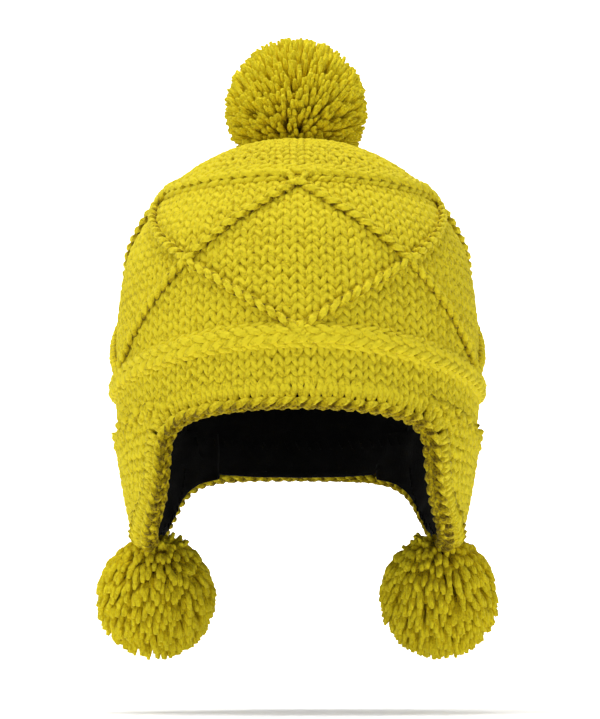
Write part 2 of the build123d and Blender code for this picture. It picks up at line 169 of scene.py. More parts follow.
def grid_piece(name, P, material, thick=None, N=None, closed=False):
    """A sheet from a grid of points, made solid by an inner copy."""
    nu, nv, _ = P.shape
    Q = P - (N * thick if thick is not None else 0)
    v = np.concatenate([P.reshape(-1, 3), Q.reshape(-1, 3)]) * MM
    faces = []
    idx = np.arange(nu * nv).reshape(nu, nv)
    a = np.stack([idx[:-1, :-1], idx[1:, :-1], idx[1:, 1:], idx[:-1, 1:]], -1).reshape(-1, 4)
    faces.append(a)
    o = nu * nv
    faces.append(a[:, ::-1] + o)
    rim = np.concatenate([idx[:, 0], idx[-1, 1:], idx[-2::-1, -1], idx[0, -2:0:-1]])
    nxt = np.roll(rim, -1)
    faces.append(np.stack([nxt, rim, rim + o, nxt + o], -1))
    f = np.concatenate(faces)
    me = bpy.data.meshes.new(name)
    me.from_pydata(v.tolist(), [], f.tolist())
    me.polygons.foreach_set("use_smooth", np.ones(len(f), bool))
    me.materials.append(material)
    ob = bpy.data.objects.new(name, me)
    bpy.context.scene.collection.objects.link(ob)
    return ob


# ---------------------------------------------------------------- materials
def wool(name, light, mid, deep, twist=1.5, bump=0.6, sheen=0.16):
    m = bpy.data.materials.new(name); m.use_nodes = True
    nt = m.node_tree; nd = nt.nodes; ln = nt.links
    b = nd["Principled BSDF"]
    at = {}
    for k in ("along", "around", "rand", "depth"):
        at[k] = nd.new("ShaderNodeAttribute"); at[k].attribute_name = k
    tc = nd.new("ShaderNodeTexCoord")
    # twisted plies: a stripe that winds along the yarn
    mu = nd.new("ShaderNodeMath"); mu.operation = "MULTIPLY"; mu.inputs[1].default_value = twist; ln.new(at["along"].outputs["Fac"], mu.inputs[0])
    m2 = nd.new("ShaderNodeMath"); m2.operation = "MULTIPLY"; m2.inputs[1].default_value = 2.0; ln.new(at["around"].outputs["Fac"], m2.inputs[0])
    sb = nd.new("ShaderNodeMath"); sb.operation = "SUBTRACT"; ln.new(m2.outputs[0], sb.inputs[0]); ln.new(mu.outputs[0], sb.inputs[1])
    co = nd.new("ShaderNodeMath"); co.operation = "COSINE"; ln.new(sb.outputs[0], co.inputs[0])
    nz = nd.new("ShaderNodeTexNoise"); nz.inputs["Scale"].default_value = 900; nz.inputs["Detail"].default_value = 3; ln.new(tc.outputs["Object"], nz.inputs["Vector"])
    nf = nd.new("ShaderNodeTexNoise"); nf.inputs["Scale"].default_value = 2600; nf.inputs["Detail"].default_value = 2; ln.new(tc.outputs["Object"], nf.inputs["Vector"])
    nl = nd.new("ShaderNodeTexNoise"); nl.inputs["Scale"].default_value = 28; nl.inputs["Detail"].default_value = 2; ln.new(tc.outputs["Object"], nl.inputs["Vector"])
    ramp = nd.new("ShaderNodeValToRGB"); cr = ramp.color_ramp
    cr.elements[0].position = 0.0; cr.elements[0].color = (*deep, 1)
    cr.elements[1].position = 1.0; cr.elements[1].color = (*light, 1)
    e = cr.elements.new(0.5); e.color = (*mid, 1)
    # factor = 0.55 + depth*.. + ply*.. + noises: depth paints shade into recessed yarn and light onto proud yarn; the
    # ply stripe and noises are the yarn's own tone
    def mad(x, k, c):
        n = nd.new("ShaderNodeMath"); n.operation = "MULTIPLY_ADD"; ln.new(x, n.inputs[0]); n.inputs[1].default_value = k
        if isinstance(c, float): n.inputs[2].default_value = c
        else: ln.new(c, n.inputs[2])
        return n.outputs[0]
    f = mad(at["depth"].outputs["Fac"], 0.95, -0.76)
    f = mad(co.outputs[0], 0.13, f)
    f = mad(nz.outputs["Fac"], 1.25, f)
    f = mad(nl.outputs["Fac"], 0.34, f)
    f = mad(at["rand"].outputs["Fac"], 0.14, f)
    ln.new(f, ramp.inputs["Fac"]); ln.new(ramp.outputs["Color"], b.inputs["Base Color"])
    rr = nd.new("ShaderNodeMapRange"); rr.inputs["To Min"].default_value = 0.72; rr.inputs["To Max"].default_value = 0.95
    ln.new(nz.outputs["Fac"], rr.inputs["Value"]); ln.new(rr.outputs["Result"], b.inputs["Roughness"])
    h = mad(co.outputs[0], 0.5, mad(nf.outputs["Fac"], 1.1, nz.outputs["Fac"]))
    bp = nd.new("ShaderNodeBump"); bp.inputs["Strength"].default_value = bump; bp.inputs["Distance"].default_value = 0.0009
    ln.new(h, bp.inputs["Height"]); ln.new(bp.outputs["Normal"], b.inputs["Normal"])
    b.inputs["Specular IOR Level"].default_value = 0.12
    b.inputs["Sheen Weight"].default_value = sheen; b.inputs["Sheen Roughness"].default_value = 0.45
    b.inputs["Sheen Tint"].default_value = (1.0, 0.90, 0.25, 1)
    return m


# ramp colours: LIGHT for proud yarn, DEEP the painted shade of recessed yarn and the darkest random tone, MID between
LIGHT, MID, DEEP = (0.93, 0.775, 0.028), (0.55, 0.41, 0.004), (0.09, 0.055, 0.0004)
m_knit = wool("knit_wool", LIGHT, MID, DEEP)
m_edge = wool("edging_wool", LIGHT, MID, DEEP)
m_pom = wool("pompom_wool", (0.95, 0.79, 0.02), (0.72, 0.54, 0.004), (0.13, 0.08, 0.0004), sheen=0.12)
# tie wool: a darker copy of the knit wool for the ties, bindings and crown gather buried in shade: painted shade
m_tie = wool("tie_wool", (0.5, 0.40, 0.015), (0.34, 0.26, 0.006), (0.12, 0.09, 0.001))
# a darker copy of the knit wool for the back faces of the fabric: painted shade
m_shaded_back = wool("knit_inside_shaded", (0.16, 0.11, 0.002), (0.09, 0.062, 0.001), (0.04, 0.026, 0.0005))


def fleece():
    m = bpy.data.materials.new("black_fleece"); m.use_nodes = True
    nt = m.node_tree; nd = nt.nodes; ln = nt.links; b = nd["Principled BSDF"]
    tc = nd.new("ShaderNodeTexCoord")
    a = nd.new("ShaderNodeTexNoise"); a.inputs["Scale"].default_value = 1400; a.inputs["Detail"].default_value = 4; ln.new(tc.outputs["Object"], a.inputs["Vector"])
    c = nd.new("ShaderNodeTexNoise"); c.inputs["Scale"].default_value = 90; c.inputs["Detail"].default_value = 3; ln.new(tc.outputs["Object"], c.inputs["Vector"])
    mx = nd.new("ShaderNodeMath"); mx.operation = "MULTIPLY"; ln.new(a.outputs["Fac"], mx.inputs[0]); ln.new(c.outputs["Fac"], mx.inputs[1])
    r = nd.new("ShaderNodeValToRGB"); r.color_ramp.elements[0].position = 0.12; r.color_ramp.elements[0].color = (0.0004, 0.0004, 0.0004, 1)
    r.color_ramp.elements[1].position = 0.45; r.color_ramp.elements[1].color = (0.0035, 0.0035, 0.0035, 1)
    ln.new(mx.outputs[0], r.inputs["Fac"]); ln.new(r.outputs["Color"], b.inputs["Base Color"])
    rr = nd.new("ShaderNodeMapRange"); rr.inputs["To Min"].default_value = 0.85; rr.inputs["To Max"].default_value = 1.0
    ln.new(a.outputs["Fac"], rr.inputs["Value"]); ln.new(rr.outputs["Result"], b.inputs["Roughness"])
    bp = nd.new("ShaderNodeBump"); bp.inputs["Strength"].default_value = 0.7; bp.inputs["Distance"].default_value = 0.0008
    ln.new(a.outputs["Fac"], bp.inputs["Height"]); ln.new(bp.outputs["Normal"], b.inputs["Normal"])
    b.inputs["Specular IOR Level"].default_value = 0.08
    b.inputs["Sheen Weight"].default_value = 0.03; b.inputs["Sheen Roughness"].default_value = 0.6
    return m


m_fleece = fleece()
m_thread = m_fleece

# ---------------------------------------------------------------- knitting
YR = 1.62          # half of the yarn


def stitch_row(th_of, s_of_row, width_mm, row_mm, ncols, c0, purl, samples=14, yr=YR, lift=0.0, bulge=None, closed=True, hfac=0.93, jitter=0.22, bump=1.55):
    """One row of loops as one yarn. c0 is the first column; purl(c) is 1 for a purl stitch; th_of(c), the azimuth of a
    column, is not used.
    """
    t = np.arange(ncols * samples + 1) / samples          # in stitches
    c = c0 + t
    ph = TAU * t
    ci = np.floor(t).astype(int)
    cols = c0 + np.minimum(ci, ncols - 1)
    pv = np.array([purl(int(x)) for x in range(c0, c0 + ncols)], float)
    sgn = 1 - 2 * pv
    # smooth the change of face at the loops' feet
    frac = t - ci
    cur = sgn[np.minimum(ci, ncols - 1)]
    prv = sgn[np.maximum(np.minimum(ci, ncols - 1) - 1, 0)]
    nx = sgn[np.minimum(np.minimum(ci, ncols - 1) + 1, ncols - 1)]
    w0 = np.clip(0.5 - frac * 4, 0, .5); w1 = np.clip((frac - 0.75) * 2, 0, .5)
    sg = cur * (1 - w0 - w1) + prv * w0 + nx * w1
    jx = rng.normal(0, jitter, ncols + 1); jy = rng.normal(0, jitter, ncols + 1)
    gx = np.interp(t, np.arange(ncols + 1) , jx); gy = np.interp(t, np.arange(ncols + 1), jy)
    W = width_mm
    x = -0.085 * np.sin(2 * ph)
    isp = np.clip((1 - sg) / 2, 0, 1)
    y = -hfac * np.cos(ph) * (1 - 0.35 * isp)
    zdep = -np.cos(2 * ph) * sg
    d = 1.25
    out = d * zdep + lift + isp * bump
    if bulge is not None: out = out + bulge
    out = out - 2.6
    return c + x * 1.0, y, out, gx, gy, zdep, isp


def lay_row(Y, th_fn, s_fn, row_fn, ncols, c0, purl, **kw):
    closed = kw.pop("closed", True)
    c, y, out, gx, gy, zd, isp = stitch_row(th_fn, s_fn, 1, 1, ncols, c0, purl, **kw)
    th = th_fn(c)
    rowmm = row_fn(th)
    s = s_fn(th) + y * rowmm
    P, N, U, V = frame_at(th, s)
    path = P + N * out[:, None] + U * gx[:, None] + V * gy[:, None]
    yr = kw.get("yr", YR)
    rad = yr * (1 + 0.07 * np.sin(c * 7.3 + s * 0.31) + 0.10 * isp) * np.ones(len(c))
    # painted shade and light: loops darker where they dip under their neighbours, lighter where they rise, purl bumps
    # lighter
    Y.add(path, N, rad, depth=np.clip(0.5 + 0.5 * zd * np.where(isp > 0.5, 1, 1) + isp * 0.45, 0, 1.35), sides=7, twist=1.35)


def s_between(lo, hi, n, k):
    """Row k of n between two height curves, evenly along the meridian."""
    def fn(th):
        a, b = s_of(lo(th)), s_of(hi(th))
        return a + (b - a) * (k + 0.5) / n
    def h(th):
        return (s_of(hi(th)) - s_of(lo(th))) / n
    return fn, h


N_MAIN, N_BAND = 80, 92
thm = lambda c: (c) * TAU / N_MAIN
thb = lambda c: (c) * TAU / N_BAND
none = lambda c: 0
allp = lambda c: 1

band = Yarn(); welt = Yarn(); upper = Yarn(); ring = Yarn(); crown = Yarn()
lo = lambda th: z_rim(th) - 3.0
hi = lambda th: z_welt(th) + 0.2
NB = 5
for k in range(NB):
    f, h = s_between(lo, hi, NB, k)
    lay_row(band, thb, f, h, N_BAND, -46, none, lift=0.6 if k == 0 else 0.0, yr=1.62 if k == 0 else 1.5, hfac=0.9)
# rolled welt: two lines of leaning loops that roll over each other
def rolled(Y, z_fn, ncols, dz, out0, half_w, half_h, yr, lean, shift=0.0):
    u = np.linspace(-1, 1, 11)
    th0 = (np.arange(ncols) + shift) * TAU / ncols
    TH_ = th0[:, None] + (u * half_w * TAU / ncols)[None]
    s_ = s_of(z_fn(TH_)) + dz + lean * half_h * np.sin(u * math.pi / 2)[None]
    P, N, U, V = frame_at(TH_, s_)
    o = out0 + 1.5 * np.cos(u * math.pi / 2) ** 0.8
    # painted shade: each rolled loop darker towards its ends, where it tucks under
    Y.add(P + N * o[None, :, None] + rng.normal(0, 0.16, (ncols, 1, 3)), N, np.broadcast_to(yr * (0.78 + 0.24 * np.cos(u * math.pi / 2)), (ncols, 11)),
          depth=np.broadcast_to(0.35 + 0.75 * np.cos(u * math.pi / 2), (ncols, 11)), sides=8, twist=1.3)


N_WELT = 86
rolled(welt, z_welt, N_WELT, 1.9, -0.2, 0.86, 1.5, 1.95, -1)
rolled(welt, z_welt, N_WELT, -1.9, -0.2, 0.86, 1.5, 1.95, 1, 0.5)
rolled(welt, z_welt, N_WELT, 4.6, -1.9, 0.8, 1.1, 1.7, 1, 0.2)
rolled(welt, z_welt, N_WELT, -4.6, -1.9, 0.8, 1.1, 1.7, -1, 0.7)
# main field with the diamond lattice
lo2 = lambda th: z_welt(th) - 0.2
hi2 = lambda th: z_ring(th) + 1.0
NR = 18


for k in range(NR):
    f, h = s_between(lo2, hi2, NR, k)
    # a stitch's column number is its middle, so the row starts half a stitch early
    thk = lambda c: (c - 0.5) * TAU / N_MAIN
    lay_row(upper, thk, f, h, N_MAIN, -40, none, hfac=0.95)
# the purl bumps of the lattice run together into raised twisted lines, corner to corner of each diamond
lat = Yarn()
vv = np.linspace(-0.5, 17.9, 150)
tri = np.interp(vv, [-0.5, 0, 8, 16, 18], [0.5, 0, 8, 0, 2])
for c0 in range(-32, 33, 16):
    for sg in (-1, 1):
        th = (c0 + sg * tri) * TAU / N_MAIN
        lo_s, hi_s = s_of(lo2(th)), s_of(hi2(th))
        s_ = lo_s + (hi_s - lo_s) * (vv + 0.5) / NR
        P, N, U, V = frame_at(th, s_)
        d_ = np.concatenate([[0], np.cumsum(np.linalg.norm(np.diff(P, axis=0), axis=-1))])
        t_ = np.arange(0, d_[-1], 0.9)
        P, N = (np.stack([np.interp(t_, d_, E[:, q]) for q in range(3)], -1) for E in (P, N))
        T_ = np.gradient(P, axis=0); T_ /= np.linalg.norm(T_, axis=-1, keepdims=True)
        B_ = np.cross(T_, N)
        for k in range(2):
            w_ = -sg * t_ / 12.6 * TAU + k * math.pi + c0
            off = N * (np.cos(w_) * 0.95 + 0.75)[:, None] + B_ * (np.sin(w_) * 1.05)[:, None]
            # painted shade and light: each strand darker where it twists under the other, lighter on top
            lat.add(P + off, N, 1.5 * (1 + 0.10 * np.cos(w_)), depth=np.clip(0.45 + 0.55 * np.cos(w_), 0, 1.05), sides=8, twist=1.6)
# rolled ring under the crown
N_RING = 72
rolled(ring, z_ring, N_RING, 0.2, 0.0, 0.86, 1.4, 1.95, -1)
rolled(ring, z_ring, N_RING, 3.4, -0.5, 0.86, 1.3, 1.85, 1, 0.5)
rolled(ring, z_ring, N_RING, -2.6, -1.7, 0.8, 1.0, 1.65, 1, 0.3)
# crown: eight wedges that narrow to the gathered middle
s0 = float(s_of(121.5)); s1 = float(SS[-1]) - 6.0
NC = 14
for k in range(NC):
    s = s0 + (s1 - s0) * (k + 0.5) / NC
    a = float(a_of(s))
    n8 = max(1, int(round(TAU * a * 1.06 / 8 / 7.6)))
    n8 = min(n8, 10)
    tot = n8 * 8
    thc = lambda c, tot=tot: (c - 0.5 * (n8 % 2)) * TAU / tot + TAU / 16
    f = lambda th, s=s: s + 0 * th
    h = lambda th: (s1 - s0) / NC + 0 * th
    lay_row(crown, thc, f, h, tot, 0, none, hfac=0.95, lift=0.2)

cloths, knit_objs = [], []
for y_, nm in ((band, "knit_band"), (welt, "brow_welt"), (upper, "knit_diamonds"), (lat, "diamond_bumps"), (ring, "crown_welt"), (crown, "knit_crown")):
    ob = y_.build(nm, m_knit, "knit"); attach(ob, "crown")
    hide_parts("knit_shell"); knit_objs.append(ob)
# the inner face of the fabric, behind the loops, in a darker copy of the wool: painted shade seen through the gaps
U_, V_ = np.meshgrid(np.linspace(-math.pi, math.pi, 181), np.linspace(0, 1, 90), indexing="ij")
sb = s_of(z_rim(U_) - 0.5) + (SS[-1] - 5.0 - s_of(z_rim(U_))) * V_
P, N, U, V = frame_at(U_, sb)
ob = grid_piece("knit_inner_face", P - N * 3.4, m_shaded_back, 1.2, N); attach(ob, "crown"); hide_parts("knit_shell")
# flat: a tube 588 mm round and 121 mm high, and eight wedges 77 mm high that close the crown
cloths.append((ob, (0.588, 0.198), 0.0878, (), knit_objs))

# ---------------------------------------------------------------- outline of the opening: azimuth and height of its free edge
EDGE = np.array([(0, 4.2), (14, 3.8), (27, 2.4), (35, 0.4), (40, -1.8), (43.8, -6.0), (45.6, -12), (47.2, -20), (49.4, -29), (52.6, -37.5), (57.5, -45.5),
                 (64, -52), (73, -57.8), (82, -61.0), (90, -62.2), (98, -61.2), (106, -58.2), (114, -53.2), (121, -46.6), (126.5, -39), (131.5, -31),
                 (137, -24), (144, -18.8), (153, -15.6), (165, -14.2), (180, -13.8)], float)


def smooth_line(pts, n):
    d = np.concatenate([[0], np.cumsum(np.hypot(*(np.diff(pts, axis=0) * np.array([1.5, 1.0])).T))])
    t = np.linspace(0, d[-1], n)
    out = np.stack([np.interp(t, d, pts[:, i]) for i in (0, 1)], -1)
    kk = np.hanning(15); kk /= kk.sum()
    pad = np.pad(out, ((7, 7), (0, 0)), mode="reflect", reflect_type="odd")
    return np.stack([np.convolve(pad[:, i], kk, mode="valid") for i in (0, 1)], -1)


half_line = smooth_line(EDGE, 500)
full = np.concatenate([half_line * [-1, 1], half_line[::-1]])[::1]
# one side, front centre to back centre; mirrored for the other


def edge_points(side, inset, lift):
    """Points along one side's free edge, with their normal, tangent and the way into the fabric; inset and lift are not
    used.
    """
    th = np.radians(half_line[:, 0]) * side
    s = s_of(half_line[:, 1])
    P, N, U, V = frame_at(th, s)
    T = np.gradient(P, axis=0); T /= np.linalg.norm(T, axis=-1, keepdims=True)
    I = np.cross(N, T) * side
    I /= np.linalg.norm(I, axis=-1, keepdims=True)
    flip = np.sign((I * V).sum(-1))[:, None]
    # the way into the fabric is up at the brow
    return P, N, T, I * np.where(flip[:1] < 0, -1, 1)


def resample(P, extras, step):
    d = np.concatenate([[0], np.cumsum(np.linalg.norm(np.diff(P, axis=0), axis=-1))])
    n = int(d[-1] / step) + 1
    t = np.linspace(0, d[-1], n)
    return t, [np.stack([np.interp(t, d, E[:, i]) for i in range(3)], -1) for E in [P] + extras], d


def rope(Y, C, A, B, t, r, rr, pitch, ph=0.0, strands=2, hand=1):
    """Strands twisted about the line C; A and B span its section."""
    for k in range(strands):
        w = hand * t / pitch * TAU + ph + k * TAU / strands
        off = A * np.cos(w)[:, None] * r * 1.25 + B * np.sin(w)[:, None] * r * 0.95
        # painted shade and light: each strand lighter where it turns towards the knit, darker where it turns towards
        # the free edge
        Y.add(C + off, A, rr, depth=np.clip(0.55 + 0.5 * np.sin(w), 0.1, 1.1), sides=8, twist=2.2)


parts = {"brow_edging": ("crown", Yarn()), "nape_edging": ("crown", Yarn())}
for sname in ("left", "right"):
    parts[f"{sname}_earflap_edging"] = (f"{sname}_flap", Yarn())
edge_data = {}
for sname, side in (("left", 1), ("right", -1)):
    P, N, T, I = edge_points(side, 0, 0)
    t, (C, Nn, Tt, Ii), d = resample(P, [N, T, I], 0.9)
    thd = np.interp(t, d, half_line[:, 0])
    brow = thd < 42.5; nape = thd > 146; flap = ~brow & ~nape
    edge_data[sname] = (C, Nn, Tt, Ii, thd)
    for key, mask in (("brow_edging", brow), (f"{sname}_earflap_edging", flap), ("nape_edging", nape)):
        i0, i1 = np.where(mask)[0][[0, -1]]
        i0 = max(i0 - 1, 0); i1 = min(i1 + 2, len(t))
        sl = slice(i0, i1)
        Y = parts[key][1]
        c, n_, i_ = C[sl], Nn[sl], Ii[sl]
        ts = t[sl]
        # outer chain: two strands that lean, and a second chain behind that leans the other way
        rope(Y, c + i_ * 2.3 - n_ * 0.7, n_, i_, ts, 1.25, 1.75, 13.6, hand=side)
        rope(Y, c + i_ * 1.3 - n_ * 4.0, n_, i_, ts, 1.2, 1.6, 13.6, ph=1.0, hand=-side)
        # posts of the crochet round: short loops from the chain up to the knit
        step = 5.4
        n = max(2, int((ts[-1] - ts[0]) / step))
        tt = ts[0] + (np.arange(n) + 0.5) * (ts[-1] - ts[0]) / n
        at = lambda E: np.stack([np.interp(tt, ts, E[:, q]) for q in range(3)], -1)
        c0, n0, i0_, t0 = at(c), at(n_), at(i_), at(Tt[sl])
        u = np.linspace(0, 1, 8)
        for lean in (-1, 1):
            base = 3.0; top = 13.8
            path = c0[:, None] + i0_[:, None] * (base + (top - base) * u)[None, :, None] + t0[:, None] * (lean * (0.6 + 1.9 * u))[None, :, None] \
                + n0[:, None] * (-1.7 + 1.5 * np.sin(u * math.pi))[None, :, None]
            path = path + rng.normal(0, 0.12, (n, 1, 3))
            # painted shade: each post darker at its ends, where it tucks in, lighter in the middle where it stands out
            Y.add(path, np.repeat(n0[:, None], 8, axis=1), np.broadcast_to(1.45 * (0.8 + 0.35 * np.sin(u * math.pi)), (n, 8)), depth=np.broadcast_to(0.3 + 0.6 * np.sin(u * math.pi), (n, 8)), sides=7, twist=1.4)
        # a backing strip under the posts, in the darker copy of the wool: painted shade
        w = np.linspace(1.0, 12.0, 6)
        G = c[:, None] + i_[:, None] * w[None, :, None] - n_[:, None] * 3.3
        NN = np.repeat(n_[:, None], 6, axis=1)
        ob = grid_piece(f"{key}_inner_{sname}", G, m_shaded_back, 1.4, NN)
        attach(ob, parts[key][0]) if key in ("brow_edging", "nape_edging") else None
        if key not in ("brow_edging", "nape_edging"): edge_data[sname + "_strip"] = ob
        else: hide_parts(key)

# ---------------------------------------------------------------- ear flaps
flap_pieces = {}
for sname, side in (("left", 1), ("right", -1)):
    Y = Yarn()
    line = half_line
    step = 4.35
    fr = line[(line[:, 0] < 90)]; bk = line[line[:, 0] >= 90]
    for r in range(12):
        z0 = -2.9 - step * r
        wrim = max(0.0, 1 - 0.2 * r)
        a0 = float(np.interp(-(z0 + 5.5), -fr[:, 1], fr[:, 0])) + 5.6
        if r < 3: a0 = (43.5, 47.0, 50.0)[r]
        a1 = float(np.interp(z0 - 6.0, bk[:, 1], bk[:, 0])) - 3.6
        if r < 3: a1 = (152.0, 145.5, 139.5)[r]
        if z0 < -47: a0 += 3; a1 -= 3
        if a1 - a0 < 8: continue
        rad = float(a_of(s_of(z0)))
        n = int(round(math.radians(a1 - a0) * rad * 1.05 / 6.6))
        th_fn = lambda c, n=n, a0=a0, a1=a1: side * np.radians(a0 + (a1 - a0) * c / n)
        bul = 1.5 if r == 0 else (1.0 if r == 1 else 0.3)
        f = lambda th, z0=z0, wrim=wrim: s_of(z0 + (z_rim(th) + 1) * wrim)
        h = lambda th: step + 0 * th
        lay_row(Y, th_fn, f, h, n, 0, (lambda c, r=r: 1 if r == 0 and c % 2 else 0), lift=bul, yr=1.86, hfac=1.04, jitter=0.3)
    ob = Y.build(f"{sname}_earflap_stitches", m_knit, "knit")
    flap_pieces[sname] = [(ob, f"{sname}_earflap_knit")]
    # inner face of the flap's knit, in the darker copy of the wool as painted shade, and its fleece
    nu, nv = 90, 40
    fr = line[(line[:, 0] < 90)]; bk = line[line[:, 0] >= 90]
    zz = np.linspace(9.0, -61.0, nv)
    A0 = np.interp(-np.minimum(zz, -3.0), -fr[:, 1], fr[:, 0]); A1 = np.interp(np.minimum(zz, -14.5), bk[:, 1], bk[:, 0])
    A0 = np.maximum(A0, 38); A1 = np.minimum(A1, 152)
    for nm, inset_mm, off, th_ck, mat, slot, node in (("knit_inner", 4.0, -3.6, 1.2, m_shaded_back, "knit", "knit"), ("lining", 5.4, -6.4, 1.8, m_fleece, "fleece", "lining")):
        rad = a_of(s_of(zz))
        i_deg = np.degrees(inset_mm / rad)
        a0 = A0 + i_deg; a1 = A1 - i_deg
        mid = (a0 + a1) / 2
        a0 = np.minimum(a0, mid - 1.5); a1 = np.maximum(a1, mid + 1.5)
        uu = np.linspace(0, 1, nu)
        TH = side * np.radians(a0[None] + (a1 - a0)[None] * uu[:, None])
        zc = np.maximum(zz, -62.0 + inset_mm * 0.75)
        S_ = np.broadcast_to(s_of(zc)[None], TH.shape)
        P, N, U, V = frame_at(TH, S_)
        P = P + N * off
        if nm == "lining":
            P = P + N * (0.5 * np.sin(TH * 31 + S_ * 0.21) * np.sin(S_ * 0.17 + 1.0) - 0.5)[..., None]
        ob = grid_piece(f"{sname}_earflap_{'fleece' if nm == 'lining' else nm}", P if side > 0 else P[::-1], mat, th_ck, N if side > 0 else N[::-1])
        flap_pieces[sname].append((ob, f"{sname}_earflap_{node}"))
        if nm == "lining": cloths.append((ob, (0.168, 0.072), 0.0084, (f"{sname}_earflap_knit_inner",), ()))
        else: cloths.append((ob, (0.168, 0.072), 0.0088, (), [flap_pieces[sname][0][0]]))
        if nm == "lining": lining_flap = ob
for sname in ("left", "right"):
    key = f"{sname}_earflap_edging"
    ob = parts[key][1].build(key + "_yarn", m_edge, "edging_yarn")
    flap_pieces[sname] += [(ob, key), (edge_data[sname + "_strip"], key)]
for key in ("brow_edging", "nape_edging"):
    ob = parts[key][1].build(key + "_yarn", m_edge, "edging_yarn")
    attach(ob, "crown"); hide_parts(key)

# ---------------------------------------------------------------- crown lining
# the hem stays above the fold where a flap is, and just above the free edge elsewhere
hem_line = np.array([(0, 11.5), (14, 11.0), (27, 9.6), (36, 7.4), (43, 4.0), (50, 3.0), (130, 3.0), (138, 0.0), (144, -6.0), (150, -13.0), (160, -13.6), (180, -13.7)])
for gname, lo_a, hi_a in (("front", -45, 45), ("left", 45, 135), ("back", 135, 225), ("right", 225, 315)):
    TH, W = np.meshgrid(np.radians(np.linspace(lo_a, hi_a, 61)), np.linspace(0, 1, 60), indexing="ij")
    az_ = np.abs((np.degrees(TH) + 180) % 360 - 180)
    hem = np.interp(az_, hem_line[:, 0], hem_line[:, 1])
    s_hem = s_of(hem)
    s = s_hem + (SS[-1] - 14 - s_hem) * W
    P, N, U, V = frame_at(TH, s)
    wob = 0.5 * np.sin(TH * 23 + s * 0.13) * np.sin(s * 0.11 + TH * 3)
    seam = 1.3 * np.exp(-((np.abs(((np.degrees(TH) - 45) % 90)) - 0) / 2.2) ** 2) + 1.3 * np.exp(-((90 - ((np.degrees(TH) - 45) % 90)) / 2.2) ** 2)
    shrink = 1 - 0.08 * np.clip((z_of(s) - 90) / 60, 0, 1)
    P = (P - N * (6.9 - wob - seam * 0.6)[..., None])
    P[..., :2] *= shrink[..., None]
    P[..., 2] -= 9.0 * np.clip((z_of(s) - 100) / 50, 0, 1)
    ob = grid_piece(f"lining_{gname}", P, m_fleece, 1.6, N)
    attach(ob, "crown"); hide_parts(f"lining_{gname}_gore")
    cloths.append((ob, (0.142, 0.200), {"front": 0.0190, "left": 0.0199, "back": 0.0222, "right": 0.0199}[gname], ("knit_inner_face",), ()))

# ---------------------------------------------------------------- flap fabric crosses the fold; here the CAD flap parts are hidden and each piece's placement is baked into its mesh
for sname, side in (("left", 1), ("right", -1)):
    for ob, node in flap_pieces[sname]:
        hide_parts(node)
        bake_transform(ob)


